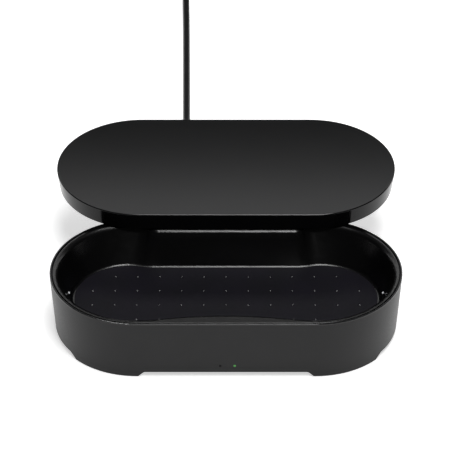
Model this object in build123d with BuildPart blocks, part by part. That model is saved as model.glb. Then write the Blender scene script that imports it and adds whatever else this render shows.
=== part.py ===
"""A UV sanitizer box for phones, with a swivelling lid that charges a phone.

A stadium-shaped base holds a tray in which a phone is bathed in UV-C light. The lid
is a flat slab of the same outline. It turns on a hollow vertical pin at the middle
of the base's rear shelf: a half turn brings it from closed to fully open behind the
base, always level. A charging coil lies under the lid's top face.

Frame: +Z up, +Y to the rear, origin on the table under the middle of the base. The
lid is modelled open. All sizes are in millimetres.
"""

import os
from math import atan, degrees, pi, radians, sin, sqrt, tan

from build123d import *

os.makedirs("parts", exist_ok=True)

# ---- base shell
BODY_LENGTH = 246.0          # rim outline, end to end
BODY_WIDTH = 123.0           # rim outline, front to rear
BODY_HEIGHT = 48.0           # table to rim
DRAFT_INSET = 3.17           # the wall leans in this far from rim to table
SHELL_WALL = 3.0
FOOT_GAP = 0.4               # the shell's own feet stop short of the table
RECESS_HEIGHT = 4.25         # arches between the feet
RECESS_RADIUS = 3.0          # rounding where an arch turns into a foot
RECESS_RAMP = 4.3            # run of the sloped end of an arch
FRONT_RECESS_STOP = 0.5      # the long arch stops this far before the end centres
END_RECESS_SIDE = 21.2       # front or rear of the rim to the arch at each end
LIP_WIDTH = 1.0              # thin outer lip of the rim
LIP_ROUND = 0.45
REVEAL = 1.0                 # groove between the lip and the tray's flange
LEDGE_WIDTH = 1.6            # ledge inside the shell that the base plate stops on
LEDGE_HEIGHT = 1.6

# ---- tray
FLANGE_DROP = 0.3            # flange top below the rim
FLANGE_THICK = 2.0
TRAY_WALL = 1.8
SHOULDER_RADIUS = 4.0        # rounding from flange to tray wall
FLANGE_ROUND = 0.4           # at the flange's outer edge
CAVITY_DEPTH = 24.35         # flange top to tray floor
# rim outline to the cavity's edge at the flange: round ends, rear, middle of the front
END_SHELF = 5.5
REAR_SHELF = 13.8            # room for the lid's pivot
FRONT_SHELF = 11.2
REAR_SWING = 13.5            # run of the S from the straight rear edge to a round end
FRONT_EASE = 94.7            # radius where the front's bow runs into a round end
# the same at the tray's floor
FLOOR_END_INSET = 22.3
FLOOR_SIDE_INSET = 24.3
FLOOR_LOBE_SHIFT = 7.3       # the floor's end centres lie further out
FLOOR_SWING = 18.2
FLOOR_EASE = 312.0
FLOOR_ROUND = 2.0            # rounding from tray wall to floor
MAT_THICK = 0.8
MAT_INSET = 1.7              # the mat stops short of that rounding
MAT_ROUND = 0.3
NUB_PITCH_X = 15.6
NUB_PITCH_Y = 16.4
NUB_MARGIN = 7.0             # last nub of a row to the mat's edge, at least
NUB_RADIUS = 1.0
NUB_HEIGHT = 0.5

# ---- lid
LID_GAP = 0.4                # rim to lid underside
LID_THICK = 13.2
LID_INSET = 0.7              # lid top outline inside the rim outline
LID_DRAFT_INSET = 1.7        # lid wall leans in this far from top to underside
LID_TOP_WALL = 2.0
LID_SIDE_WALL = 2.2
LID_FLOOR_THICK = 2.0
LID_TOP_ROUND = 0.8
LID_BOTTOM_ROUND = 0.4
LID_FIT = 0.15

# ---- pivot
PIVOT_INSET = 7.5            # rear of the rim to the pivot
PIN_RADIUS = 2.25
PIN_BORE = 1.3
PIN_FIT = 0.05               # running clearance, radial
BUSHING_WALL = 0.85
BUSHING_LENGTH = 14.7        # flange top downwards
BUSHING_FLANGE_R = 4.2
BUSHING_FLANGE_T = 0.4
HUB_RADIUS = 4.6
PIN_IN_LID = 5.0             # pin height above the lid's underside
WAVE_WASHER_T = 0.8
CLIP_T = 0.7
CLIP_RADIUS = 3.9
PIN_TAIL = 0.9               # pin below its clip
PIVOT_BOSS_RADIUS = 5.4
POCKET_HALF = 8.0            # relief in the shell wall behind the pivot
POCKET_DEPTH = 1.0
POCKET_DROP = 1.6            # relief's top below the tray's flange
POCKET_FIT = 0.3
CLIP_GROOVE_R = 1.85
WAVE_WASHER_R = 3.2
WIRE_RADIUS = 1.0
WIRE_BEND = 1.2
WIRE_PORT = 3.0              # window in the hub that the wires leave by
WIRE_SLACK = 0.3             # the two bundles meet under the pin with room to twist
BASE_WIRE_BEND = 4.0
BASE_WIRE_LIFT = 2.6         # above the main board

# ---- base plate, feet and screws
PLATE_THICK = 2.2
PLATE_BOTTOM = 4.6
PLATE_FIT = 0.25
PAD_INSET = 6.9              # rim outline to the foot blocks
PAD_WIDTH = 10.6
PAD_FROM = 48.0              # degrees from the X axis, about the end centres
PAD_TO = 86.0
MID_PAD_RADIUS = 9.0         # foot block under the middle
FOOT_THICK = 1.6             # rubber
FOOT_MARGIN = 1.4
SCREW_RADIUS = 1.25
SCREW_HEAD_R = 2.4
SCREW_HEAD_H = 1.2
SCREW_LENGTH = 8.0
SCREW_HEAD_SINK = 0.2
SCREW_FIT = 0.05             # shank in its pilot bore
SCREW_CLEAR = 0.25           # shank and head in the plate
BOSS_RADIUS = 3.6
CASE_SCREW_END = 39.0        # rim outline's end to the screws
CASE_SCREW_SIDE = 35.5       # rim outline's front or rear to the screws
MID_SCREW_X = 16.0           # a screw each side of the middle

# ---- lights
STATUS_Z = 10.0
WAIT_LIGHT_X = -4.0
READY_LIGHT_X = 6.0
LIGHT_RADIUS = 0.9
LIGHT_FIT = 0.05
LIGHT_SUNK = 0.05
LIGHT_PIPE_LENGTH = 9.0
STATUS_BOARD = (22.0, 1.2, 9.0)
STATUS_LED = (2.0, 0.8, 1.2)
UV_WINDOW_RADIUS = 1.0
UV_WINDOW_FIT = 0.03
UV_WINDOW_THICK = 2.0
UV_HEIGHT = 4.95             # window centre above the tray floor
UV_BOSS_RADIUS = 5.0
UV_BOSS_LENGTH = 5.0
UV_LED_SIZE = (3.5, 3.5, 1.3)
UV_POCKET_RADIUS = 3.0
UV_BOARD_THICK = 1.2

# ---- electronics and ballast
BOARD_SIZE = (104.0, 40.0, 1.6)
BOARD_INSET = 11.5           # rear of the rim to the board
BOARD_LIFT = 3.0
STANDOFF_RADIUS = 3.0
STANDOFF_MARGIN = 4.0        # standoff centre to board edge
BOARD_SCREW_RADIUS = 1.0
BOARD_SCREW_HEAD = 1.4
# x, y from the board's middle, and size: wire socket, controller, coil, driver, link
BOARD_CHIPS = (
    (0.0, 16.0, (8.0, 5.0, 5.0)),
    (12.0, -2.0, (9.0, 9.0, 1.2)),
    (-12.0, 4.0, (12.0, 12.0, 4.5)),
    (30.0, 6.0, (7.0, 7.0, 2.0)),
    (38.0, -9.0, (6.0, 8.0, 5.0)),
)
CAPACITOR_RADIUS = 4.0
CAPACITOR_HEIGHT = 8.0
CAPACITOR_X = (-38.0, -28.0)
CAPACITOR_Y = -4.0
BALLAST_SIZE = (120.0, 34.0, 6.0)
BALLAST_GAP = 10.5           # board to ballast, with two case screws between
BALLAST_EDGE = 1.0
SOCKET_X = -30.0
SOCKET_SIZE = (9.0, 14.0, 10.6)
SOCKET_BORE = 2.9
SOCKET_DEPTH = 10.0
SOCKET_PIN = 0.9
SOCKET_REAR_GAP = 0.3
PLUG_HOLE = 3.4
MAGNET_RADIUS = 3.0
MAGNET_THICK = 2.0
MAGNET_X = 18.0
MAGNET_INSET = 8.1           # rim outline to the magnets' axes
MAGNET_SKIN = 1.0            # plastic between magnet and flange
MAGNET_BOSS = (9.4, 7.2)
SENSOR_SIZE = (4.0, 3.0, 1.5)

# ---- charger in the lid
COIL_OUTER = 22.0
COIL_INNER = 10.0
COIL_THICK = 1.4
FERRITE_RADIUS = 25.0
FERRITE_THICK = 1.0
CHARGER_SIZE = (60.0, 26.0, 1.2)
CHARGER_RUN = 21.0           # pivot to the board's middle
CHARGER_LIFT = 1.2
# x, y from the board's middle, and size: wire socket, driver, two capacitors
CHARGER_CHIPS = (
    (0.0, -11.0, (6.0, 4.0, 3.2)),
    (8.0, 3.0, (7.0, 7.0, 1.0)),
    (-10.0, 2.0, (5.0, 6.0, 2.6)),
    (-19.0, 2.0, (5.0, 6.0, 2.6)),
)
LID_SCREW_END = 25.0         # rim outline's end to the screws
LID_SCREW_SIDE = 35.5
LID_BOSS_RADIUS = 3.2
LID_SCREW_LENGTH = 6.0
LID_SCREW_HEAD_H = 1.0
LID_MID_SCREW_SIDE = 17.5    # single screw at the lid's free side
HUB_SCREW_X = 38.0           # a screw each side of the hub
HUB_SCREW_SIDE = 15.5

# ---- cord
CORD_RADIUS = 2.75
CORD_CLEAR = 0.1             # cord above the table
BARREL_RADIUS = 2.75
BARREL_BORE = 1.3
BARREL_LENGTH = 12.0
PLUG_GAP = 0.4
PLUG_RADIUS = 4.6
PLUG_LENGTH = 17.0
RELIEF_LENGTH = 21.0
RELIEF_START_R = 4.0
RELIEF_END_R = 3.15
COIL_MID_RADIUS = 27.75      # middle of the turns
COIL_WIDE = 3                # turns side by side
COIL_HIGH = 2                # layers
COIL_SLACK = 0.5             # turns lie this much less tightly in all
COIL_X = -0.5
COIL_Y = 476.0
USB_BODY = (15.6, 22.0, 7.8)
USB_SHELL = (12.0, 14.0, 4.5)
USB_SHELL_WALL = 0.4
USB_TONGUE = (10.6, 10.0, 1.7)
USB_RELIEF = 12.0
USB_RELIEF_R = 3.6
USB_ROUND = 1.2
PLUG_ROUND = 1.5
ARC_SHARE = 0.45             # of the shorter run, taken by each arc of the cord

def wall_inset(z):
    """How far the shell's outer face stands inside the rim outline at height z."""
    return DRAFT_INSET * (BODY_HEIGHT - z) / BODY_HEIGHT


# ---- worked out from the above
RIM_Z = BODY_HEIGHT
FLANGE_TOP = RIM_Z - FLANGE_DROP
FLANGE_BOTTOM = FLANGE_TOP - FLANGE_THICK
FLOOR_Z = FLANGE_TOP - CAVITY_DEPTH
MAT_TOP = FLOOR_Z + MAT_THICK
NUB_SPHERE = (NUB_RADIUS**2 + NUB_HEIGHT**2) / (2 * NUB_HEIGHT)
TRAY_UNDERSIDE = FLOOR_Z - TRAY_WALL
HALF_LENGTH = BODY_LENGTH / 2
HALF_WIDTH = BODY_WIDTH / 2
END_X = HALF_LENGTH - HALF_WIDTH
FLOOR_LOBE_X = END_X + FLOOR_LOBE_SHIFT
FLOOR_LOBE_R = HALF_WIDTH - FLOOR_END_INSET
PIVOT_Y = HALF_WIDTH - PIVOT_INSET
MAGNET_Y = HALF_WIDTH - MAGNET_INSET
PAD_OUTER_R = HALF_WIDTH - PAD_INSET
PAD_INNER_R = PAD_OUTER_R - PAD_WIDTH
DRAFT_ANGLE = degrees(atan(DRAFT_INSET / BODY_HEIGHT))
PLATE_TOP = PLATE_BOTTOM + PLATE_THICK
LEDGE_INSET = wall_inset(PLATE_TOP) + SHELL_WALL

BUSHING_BOTTOM = FLANGE_TOP - BUSHING_LENGTH
BUSHING_RADIUS = PIN_RADIUS + PIN_FIT + BUSHING_WALL
WASHER_BOTTOM = FLANGE_TOP + BUSHING_FLANGE_T
CLIP_TOP = BUSHING_BOTTOM - WAVE_WASHER_T
PIN_BOTTOM = CLIP_TOP - CLIP_T - PIN_TAIL
POCKET_TOP = FLANGE_BOTTOM - POCKET_DROP
POCKET_WALL_Y = HALF_WIDTH - wall_inset(PIN_BOTTOM) - SHELL_WALL + POCKET_DEPTH
PIVOT_BOSS_Y = POCKET_WALL_Y - POCKET_FIT

LID_BOTTOM = RIM_Z + LID_GAP
LID_TOP = LID_BOTTOM + LID_THICK
LID_Y = 2 * PIVOT_Y          # the open lid's middle
LID_CEILING = LID_TOP - LID_TOP_WALL
LID_FLOOR_TOP = LID_BOTTOM + LID_FLOOR_THICK
LID_DRAFT_ANGLE = degrees(atan(LID_DRAFT_INSET / LID_THICK))
LID_RIM_INSET = LID_INSET + LID_DRAFT_INSET + LID_SIDE_WALL
CHARGER_Y = PIVOT_Y + CHARGER_RUN
CHARGER_BOTTOM = LID_FLOOR_TOP + CHARGER_LIFT
WIRE_Z = LID_BOTTOM + PIN_IN_LID + WIRE_PORT / 2

LIGHT_FACE = HALF_WIDTH - wall_inset(STATUS_Z) - LIGHT_SUNK
STATUS_BOARD_Y = LIGHT_PIPE_LENGTH + STATUS_LED[1] - LIGHT_FACE
BOARD_Y = HALF_WIDTH - BOARD_INSET - BOARD_SIZE[1] / 2
BOARD_FRONT_Y = BOARD_Y - BOARD_SIZE[1] / 2
BALLAST_Y = BOARD_FRONT_Y - BALLAST_GAP - BALLAST_SIZE[1] / 2
BOARD_BOTTOM = PLATE_TOP + BOARD_LIFT
BOARD_TOP = BOARD_BOTTOM + BOARD_SIZE[2]
STANDOFF_PITCH = (BOARD_SIZE[0] - 2 * STANDOFF_MARGIN, BOARD_SIZE[1] - 2 * STANDOFF_MARGIN)
SOCKET_Z = BOARD_TOP + SOCKET_SIZE[2] / 2
SOCKET_FRONT_Y = HALF_WIDTH - wall_inset(BOARD_TOP) - SHELL_WALL - SOCKET_REAR_GAP

CASE_SCREW_X = HALF_LENGTH - CASE_SCREW_END
CASE_SCREW_Y = HALF_WIDTH - CASE_SCREW_SIDE
MID_SCREW_Y = BOARD_FRONT_Y - BALLAST_GAP / 2
CASE_SCREWS = [(x, y) for x in (-CASE_SCREW_X, CASE_SCREW_X) for y in (-CASE_SCREW_Y, CASE_SCREW_Y)]
CASE_SCREWS += [(-MID_SCREW_X, MID_SCREW_Y), (MID_SCREW_X, MID_SCREW_Y)]
LID_SCREW_X = HALF_LENGTH - LID_SCREW_END
LID_SCREW_Y = HALF_WIDTH - LID_SCREW_SIDE
HUB_SCREW_Y = LID_Y - HALF_WIDTH + HUB_SCREW_SIDE
LID_SCREWS = [(x, LID_Y + y) for x in (-LID_SCREW_X, LID_SCREW_X) for y in (-LID_SCREW_Y, LID_SCREW_Y)]
LID_SCREWS += [(-HUB_SCREW_X, HUB_SCREW_Y), (HUB_SCREW_X, HUB_SCREW_Y),
               (0, LID_Y + HALF_WIDTH - LID_MID_SCREW_SIDE)]

# the tray's end walls lean outwards: one plane on each, facing out of the cavity
WALL_RUN = HALF_LENGTH - END_SHELF - FLOOR_LOBE_X - FLOOR_LOBE_R
UV_X = FLOOR_LOBE_X + FLOOR_LOBE_R + WALL_RUN * UV_HEIGHT / CAVITY_DEPTH
UV_PLANES = [Plane(origin=(side * UV_X, 0, FLOOR_Z + UV_HEIGHT), x_dir=(0, 1, 0),
                   z_dir=(side * CAVITY_DEPTH, 0, -WALL_RUN)) for side in (-1, 1)]


BASE_WIRE_Z = BOARD_TOP + BASE_WIRE_LIFT
BASE_WIRE_END = BOARD_Y + BOARD_CHIPS[0][1] + BOARD_CHIPS[0][2][1] / 2
PLUG_Y = HALF_WIDTH - wall_inset(SOCKET_Z) + PLUG_GAP
CORD_Z = CORD_RADIUS + CORD_CLEAR
COIL_WIDTH = COIL_WIDE * 2 * CORD_RADIUS + COIL_SLACK
COIL_THICKNESS = COIL_HIGH * 2 * CORD_RADIUS + COIL_SLACK
OUTER_TURN = COIL_MID_RADIUS + (COIL_WIDE - 1) * CORD_RADIUS
# the cord leaves the relief, sinks to the table and runs straight back to its coil
CORD_ROUTE = [
    (SOCKET_X, PLUG_Y + PLUG_LENGTH + RELIEF_LENGTH, SOCKET_Z),
    (SOCKET_X, 116.0, SOCKET_Z),
    (-29.9, 140.0, 8.8),
    (-29.9, 168.0, CORD_Z),
    (-30.2, 216.0, CORD_Z),
    (-30.7, 274.0, CORD_Z),
    (-31.4, 334.0, CORD_Z),
    (-32.1, 390.0, CORD_Z),
    (-32.9, 430.0, CORD_Z),
    (COIL_X - OUTER_TURN, 464.0, CORD_Z),
]
# the end of the cord comes off the top of the coil and drops to the plug beside it
TAIL_Z = CORD_CLEAR + USB_BODY[2] / 2
TAIL_ROUTE = [
    (10.0, 509.6, 7.4),
    (18.0, 509.8, 6.0),
    (26.0, 510.0, TAIL_Z),
    (34.0, 510.0, TAIL_Z),
]
USB_PLANE = Plane(origin=TAIL_ROUTE[-1], x_dir=(0, 0, 1), z_dir=(1, 0, 0))

ON_TOP = (Align.CENTER, Align.CENTER, Align.MIN)
HUNG = (Align.CENTER, Align.CENTER, Align.MAX)


def at(points, z):
    """The same points at height z."""
    return Locations(*[(x, y, z) for x, y in points])


def stadium(z, inset, y=0.0):
    """The body's outline, drawn in by inset, at height z."""
    with BuildSketch(Plane.XY.offset(z)) as outline:
        with Locations((0, y)):
            SlotOverall(BODY_LENGTH - 2 * inset, BODY_WIDTH - 2 * inset)
    return outline.sketch


def cavity(z, lobe_x, lobe, rear, run, front, ease):
    """The tray's outline at height z: round ends, a straight waist at the rear that
    swings out to them in an S over run, and a front edge that bows out and is eased
    into the ends."""
    rear_half = lobe_x - run
    swing = lobe - rear
    bend = (run**2 + swing**2) / (4 * swing)
    turn = degrees(2 * atan(swing / run))
    bow_turn = 2 * atan((lobe - front) / lobe_x)
    bow = lobe_x / sin(bow_turn) - ease
    bow_turn = degrees(bow_turn)
    with BuildSketch(Plane.XY.offset(z)) as outline:
        with BuildLine():
            Line((-rear_half, rear), (rear_half, rear))
            CenterArc((rear_half, rear + bend), bend, 270, turn)
            CenterArc((lobe_x, lobe - bend), bend, 90, turn)
            CenterArc((lobe_x, 0), lobe, 90, -180)
            CenterArc((lobe_x, ease - lobe), ease, 270, -bow_turn)
            CenterArc((0, -front - bow), bow, 90 - bow_turn, 2 * bow_turn)
            CenterArc((-lobe_x, ease - lobe), ease, 270, bow_turn)
            CenterArc((-lobe_x, 0), lobe, 270, -180)
            CenterArc((-lobe_x, lobe - bend), bend, 90, -turn)
            CenterArc((-rear_half, rear + bend), bend, 270, -turn)
        make_face()
    return outline.sketch


def cavity_top(z, grow=0.0):
    """The cavity's outline at the flange, moved outwards by grow."""
    half = HALF_WIDTH + grow
    return cavity(z, END_X, half - END_SHELF, half - REAR_SHELF, REAR_SWING,
                  half - FRONT_SHELF, FRONT_EASE + grow)


def cavity_floor(z, grow=0.0):
    """The cavity's outline at the tray's floor, moved outwards by grow."""
    half = HALF_WIDTH + grow
    return cavity(z, FLOOR_LOBE_X, half - FLOOR_END_INSET, half - FLOOR_SIDE_INSET,
                  FLOOR_SWING, half - FLOOR_SIDE_INSET, FLOOR_EASE + grow)


def nub_columns(row_y):
    """How many nubs fit in the row at row_y."""
    half_row = FLOOR_LOBE_X + sqrt(FLOOR_LOBE_R**2 - row_y**2) - NUB_MARGIN
    return 2 * int(half_row / NUB_PITCH_X) + 1


def foot_pads(z, margin):
    """A ring sector over each foot and a disc in the middle, drawn in by margin."""
    spare = degrees(margin / PAD_OUTER_R)
    first = PAD_FROM + spare
    sweep_angle = PAD_TO - PAD_FROM - 2 * spare
    with BuildSketch(Plane.XY.offset(z)) as pads:
        with BuildLine():
            inner = CenterArc((END_X, 0), PAD_INNER_R + margin, first, sweep_angle)
            outer = CenterArc((END_X, 0), PAD_OUTER_R - margin, first, sweep_angle)
            Line(inner @ 0, outer @ 0)
            Line(inner @ 1, outer @ 1)
        make_face()
        mirror(about=Plane.XZ)
        mirror(about=Plane.YZ)
        Circle(MID_PAD_RADIUS - margin)
    return pads.sketch


def finish(piece, name):
    """Label a finished piece and write its file."""
    piece.part.label = name
    export_step(piece.part, f"parts/{name}.step")


# ---- outer shell: one drafted wall with a thin lip, standing on four feet
with BuildPart() as outer_shell:
    add(stadium(RIM_Z, 0))
    extrude(amount=-(RIM_Z - FOOT_GAP), taper=DRAFT_ANGLE)
    fillet(outer_shell.faces().sort_by(Axis.Z)[-1].edges(), LIP_ROUND)
    # inside, down to the ledge that the base plate stops on
    add(stadium(RIM_Z, SHELL_WALL))
    extrude(amount=-(RIM_Z - PLATE_TOP - LEDGE_HEIGHT), taper=DRAFT_ANGLE, mode=Mode.SUBTRACT)
    add(stadium(RIM_Z, LEDGE_INSET + LEDGE_WIDTH))
    extrude(amount=-RIM_Z, mode=Mode.SUBTRACT)
    add(stadium(PLATE_TOP, LEDGE_INSET))
    extrude(amount=-PLATE_TOP, taper=DRAFT_ANGLE, mode=Mode.SUBTRACT)
    # rebate that the tray's flange lies in
    add(stadium(FLANGE_BOTTOM, LIP_WIDTH))
    extrude(amount=RIM_Z - FLANGE_BOTTOM, mode=Mode.SUBTRACT)
    # arches between the feet, front to rear and end to end
    for plane, half in ((Plane.XZ, END_X - FRONT_RECESS_STOP),
                        (Plane.YZ, HALF_WIDTH - END_RECESS_SIDE)):
        with BuildSketch(plane) as arch:
            with BuildLine():
                Polyline((-half, 0), (RECESS_RAMP - half, RECESS_HEIGHT),
                         (half - RECESS_RAMP, RECESS_HEIGHT), (half, 0), close=True)
            make_face()
            fillet(arch.vertices().group_by(Axis.Y)[-1], RECESS_RADIUS)
        extrude(amount=BODY_LENGTH, both=True, mode=Mode.SUBTRACT)
    # relief behind the pivot, holes for the two lights and for the cord's plug
    with Locations((0, 0, POCKET_TOP)):
        Box(2 * POCKET_HALF, POCKET_WALL_Y, POCKET_TOP - PIN_BOTTOM,
            align=(Align.CENTER, Align.MIN, Align.MAX), mode=Mode.SUBTRACT)
    for light_x in (WAIT_LIGHT_X, READY_LIGHT_X):
        with BuildSketch(Plane.XZ):
            with Locations((light_x, STATUS_Z)):
                Circle(LIGHT_RADIUS + LIGHT_FIT)
        extrude(amount=BODY_WIDTH, mode=Mode.SUBTRACT)
    with BuildSketch(Plane.XZ):
        with Locations((SOCKET_X, SOCKET_Z)):
            Circle(PLUG_HOLE)
    extrude(amount=-BODY_WIDTH, mode=Mode.SUBTRACT)
finish(outer_shell, "outer_shell")


# ---- tray: a glossy bowl hung from a flange, with bosses for screws, pin and magnets
with BuildPart() as inner_tray:
    add(stadium(FLANGE_BOTTOM, LIP_WIDTH + REVEAL))
    extrude(amount=FLANGE_THICK)
    fillet(inner_tray.faces().sort_by(Axis.Z)[-1].edges(), FLANGE_ROUND)
    loft([cavity_floor(TRAY_UNDERSIDE, TRAY_WALL), cavity_top(FLANGE_TOP, TRAY_WALL)], ruled=True)
    with Locations((0, PIVOT_Y, BUSHING_BOTTOM)):
        Cylinder(PIVOT_BOSS_RADIUS, FLANGE_BOTTOM - BUSHING_BOTTOM, align=ON_TOP)
    with Locations((0, PIVOT_BOSS_Y, BUSHING_BOTTOM)):
        Box(2 * POCKET_HALF, BODY_WIDTH, FLANGE_BOTTOM - BUSHING_BOTTOM,
            align=(Align.CENTER, Align.MIN, Align.MIN), mode=Mode.SUBTRACT)
    with at([(x, -MAGNET_Y) for x in (-MAGNET_X, 0, MAGNET_X)], FLANGE_BOTTOM):
        Box(*MAGNET_BOSS, MAGNET_THICK + MAGNET_SKIN,
            align=HUNG)
    with at(CASE_SCREWS, PLATE_TOP):
        Cylinder(BOSS_RADIUS, FLOOR_Z - PLATE_TOP, align=ON_TOP)
    for plane in UV_PLANES:
        with Locations(plane):
            Cylinder(UV_BOSS_RADIUS, UV_BOSS_LENGTH, align=ON_TOP)
    loft([cavity_floor(FLOOR_Z), cavity_top(FLANGE_TOP)], ruled=True, mode=Mode.SUBTRACT)
    shoulder = inner_tray.faces().filter_by(Plane.XY).group_by(Axis.Z)[-1]
    fillet(shoulder[0].inner_wires()[0].edges(), SHOULDER_RADIUS)
    level_faces = inner_tray.faces().filter_by(Plane.XY)
    bowl_floor = level_faces.sort_by(lambda face: abs(face.center().Z - FLOOR_Z))[0]
    fillet(bowl_floor.outer_wire().edges(), FLOOR_ROUND)
    with Locations((0, PIVOT_Y, FLANGE_TOP)):
        Cylinder(BUSHING_RADIUS, BUSHING_LENGTH,
                 align=HUNG, mode=Mode.SUBTRACT)
    with at([(-MAGNET_X, -MAGNET_Y), (MAGNET_X, -MAGNET_Y)], FLANGE_BOTTOM - MAGNET_SKIN):
        Cylinder(MAGNET_RADIUS, MAGNET_THICK, align=HUNG,
                 mode=Mode.SUBTRACT)
    with at(CASE_SCREWS, PLATE_TOP):
        Cylinder(SCREW_RADIUS + SCREW_FIT, SCREW_LENGTH,
                 align=ON_TOP, mode=Mode.SUBTRACT)
    for plane in UV_PLANES:
        with Locations(plane):
            Cylinder(UV_WINDOW_RADIUS + UV_WINDOW_FIT, UV_BOSS_LENGTH,
                     align=ON_TOP, mode=Mode.SUBTRACT)
        with Locations(plane.offset(UV_WINDOW_THICK)):
            Cylinder(UV_POCKET_RADIUS, UV_BOSS_LENGTH,
                     align=ON_TOP, mode=Mode.SUBTRACT)
finish(inner_tray, "inner_tray")


# ---- mat: soft liner on the tray's floor, with small nubs that a phone lies on
with BuildPart() as tray_mat:
    add(cavity_floor(FLOOR_Z, -MAT_INSET))
    extrude(amount=MAT_THICK)
    fillet(tray_mat.faces().sort_by(Axis.Z)[-1].edges(), MAT_ROUND)
    with Locations((0, 0, MAT_TOP + NUB_HEIGHT - NUB_SPHERE)):
        for spread in (NUB_PITCH_Y, 3 * NUB_PITCH_Y):
            with GridLocations(NUB_PITCH_X, spread, nub_columns(spread / 2), 2):
                Sphere(NUB_SPHERE)
    with Locations((0, 0, FLOOR_Z)):
        Box(BODY_LENGTH, BODY_WIDTH, 2 * NUB_SPHERE, align=HUNG, mode=Mode.SUBTRACT)
finish(tray_mat, "tray_mat")


# ---- base plate with foot blocks, standoffs and screw holes
with BuildPart() as base_plate:
    add(stadium(PLATE_BOTTOM, wall_inset(PLATE_BOTTOM) + SHELL_WALL + PLATE_FIT))
    extrude(amount=PLATE_THICK)
    add(foot_pads(FOOT_THICK, 0))
    extrude(amount=PLATE_BOTTOM - FOOT_THICK)
    with Locations((0, BOARD_Y, PLATE_TOP)):
        with GridLocations(*STANDOFF_PITCH, 2, 2):
            Cylinder(STANDOFF_RADIUS, BOARD_LIFT, align=ON_TOP)
            with Locations((0, 0, BOARD_LIFT)):
                Cylinder(BOARD_SCREW_RADIUS + SCREW_FIT, BOARD_LIFT,
                         align=HUNG, mode=Mode.SUBTRACT)
    with at(CASE_SCREWS, PLATE_BOTTOM):
        Cylinder(SCREW_RADIUS + SCREW_CLEAR, PLATE_THICK,
                 align=ON_TOP, mode=Mode.SUBTRACT)
        Cylinder(SCREW_HEAD_R + SCREW_CLEAR, SCREW_HEAD_SINK + SCREW_HEAD_H,
                 align=ON_TOP, mode=Mode.SUBTRACT)
finish(base_plate, "base_plate")

with BuildPart() as rubber_feet:
    add(foot_pads(0, FOOT_MARGIN))
    extrude(amount=FOOT_THICK)
finish(rubber_feet, "rubber_feet")

with BuildPart() as case_screws:
    with at(CASE_SCREWS, PLATE_BOTTOM + SCREW_HEAD_SINK):
        Cylinder(SCREW_HEAD_R, SCREW_HEAD_H, align=ON_TOP)
        Cylinder(SCREW_RADIUS, SCREW_LENGTH, align=ON_TOP)
finish(case_screws, "case_screws")


# ---- UV-C lights in the tray's ends: window, lamp and its board on one axis
with BuildPart() as uv_windows:
    for plane in UV_PLANES:
        with Locations(plane):
            Cylinder(UV_WINDOW_RADIUS, UV_WINDOW_THICK,
                     align=ON_TOP)
finish(uv_windows, "uv_windows")

with BuildPart() as uv_leds:
    for plane in UV_PLANES:
        with Locations(plane.offset(UV_BOSS_LENGTH)):
            Box(*UV_LED_SIZE, align=HUNG)
finish(uv_leds, "uv_leds")

with BuildPart() as uv_boards:
    for plane in UV_PLANES:
        with Locations(plane.offset(UV_BOSS_LENGTH)):
            Cylinder(UV_BOSS_RADIUS, UV_BOARD_THICK,
                     align=ON_TOP)
finish(uv_boards, "uv_boards")


# ---- status lights: a board behind the front wall and a light pipe for each lamp
def light_pipe(x):
    with BuildPart() as pipe:
        with BuildSketch(Plane.XZ.offset(LIGHT_FACE)):
            with Locations((x, STATUS_Z)):
                Circle(LIGHT_RADIUS)
        extrude(amount=-LIGHT_PIPE_LENGTH)
    return pipe


wait_light_pipe = light_pipe(WAIT_LIGHT_X)
finish(wait_light_pipe, "wait_light_pipe")
ready_light_pipe = light_pipe(READY_LIGHT_X)
finish(ready_light_pipe, "ready_light_pipe")

with BuildPart() as status_board:
    with Locations(((WAIT_LIGHT_X + READY_LIGHT_X) / 2, STATUS_BOARD_Y, PLATE_TOP)):
        Box(*STATUS_BOARD, align=(Align.CENTER, Align.MIN, Align.MIN))
    with Locations(*[(x, STATUS_BOARD_Y, STATUS_Z) for x in (WAIT_LIGHT_X, READY_LIGHT_X)]):
        Box(*STATUS_LED, align=(Align.CENTER, Align.MAX, Align.CENTER))
finish(status_board, "status_board")


# ---- main board, its parts, its screws, the power socket and the ballast
with BuildPart() as main_board:
    with Locations((0, BOARD_Y, BOARD_BOTTOM)):
        Box(*BOARD_SIZE, align=ON_TOP)
        with GridLocations(*STANDOFF_PITCH, 2, 2):
            Hole(BOARD_SCREW_RADIUS + SCREW_FIT)
finish(main_board, "main_board")

with BuildPart() as board_parts:
    for x, y, size in BOARD_CHIPS:
        with Locations((x, BOARD_Y + y, BOARD_TOP)):
            Box(*size, align=ON_TOP)
    with at([(x, BOARD_Y + CAPACITOR_Y) for x in CAPACITOR_X], BOARD_TOP):
        Cylinder(CAPACITOR_RADIUS, CAPACITOR_HEIGHT,
                 align=ON_TOP)
finish(board_parts, "board_parts")

with BuildPart() as board_screws:
    with Locations((0, BOARD_Y, BOARD_TOP)):
        with GridLocations(*STANDOFF_PITCH, 2, 2):
            Cylinder(STANDOFF_RADIUS - SCREW_CLEAR, BOARD_SCREW_HEAD,
                     align=ON_TOP)
            Cylinder(BOARD_SCREW_RADIUS, BOARD_SIZE[2] + BOARD_LIFT - SCREW_CLEAR,
                     align=HUNG)
finish(board_screws, "board_screws")

with BuildPart() as power_socket:
    with Locations((SOCKET_X, SOCKET_FRONT_Y, BOARD_TOP)):
        Box(*SOCKET_SIZE, align=(Align.CENTER, Align.MAX, Align.MIN))
    with BuildSketch(Plane.XZ.offset(-SOCKET_FRONT_Y)):
        with Locations((SOCKET_X, SOCKET_Z)):
            Circle(SOCKET_BORE)
            Circle(SOCKET_PIN, mode=Mode.SUBTRACT)
    extrude(amount=SOCKET_DEPTH, mode=Mode.SUBTRACT)
finish(power_socket, "power_socket")

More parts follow.
